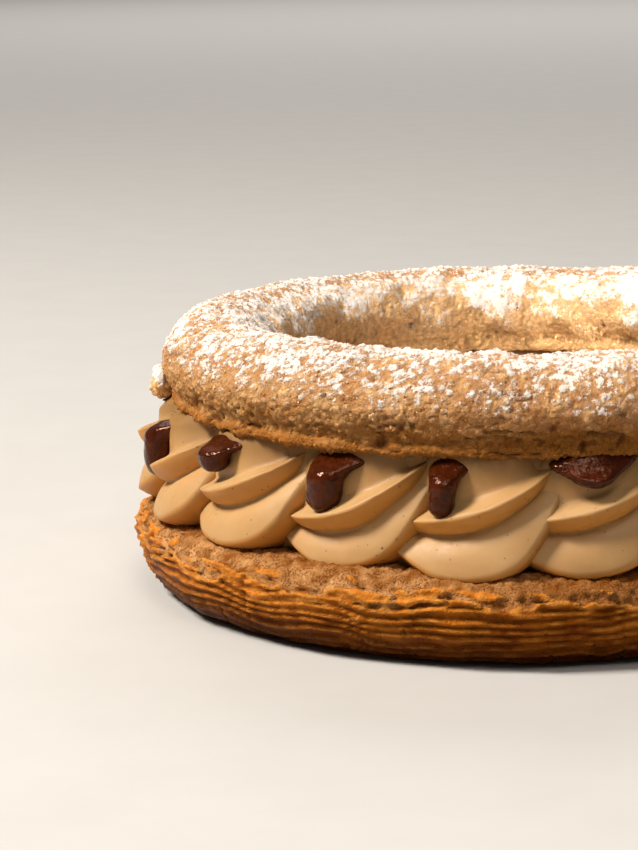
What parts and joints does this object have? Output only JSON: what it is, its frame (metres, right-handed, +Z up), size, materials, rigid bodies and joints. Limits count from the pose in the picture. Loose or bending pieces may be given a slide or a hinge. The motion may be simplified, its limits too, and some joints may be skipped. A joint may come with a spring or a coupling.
{
  "type": "paris-brest pastry",
  "caption": "Ring of choux pastry cut level and filled with piped praline cream loops, dark praline drops between them, under a crackled sugar-dusted lid.",
  "frame": {"origin": "middle of the flat underside, on the ring's axis", "axes": "+Z up along the ring's axis, -Y towards the side shown, +X to its right"},
  "size_m": [0.2014, 0.2, 0.072],
  "materials": {
    "choux_base": "baked choux crust, golden with brown grooves, slightly glossy on its piping ridges and porous above them",
    "praline_cream": "smooth piped hazelnut cream, satin, pale caramel with fine dark specks",
    "praline_paste": "wet glossy nut praline, very dark brown, slightly lumpy",
    "craquelin_crust": "granular cracked golden-brown crust, matte, dusted with icing sugar"
  },
  "bodies": {
    "root": {"base": "choux_base", "cream": "praline_cream", "praline": "praline_paste", "lid": "craquelin_crust"}
  },
  "joints": []
}
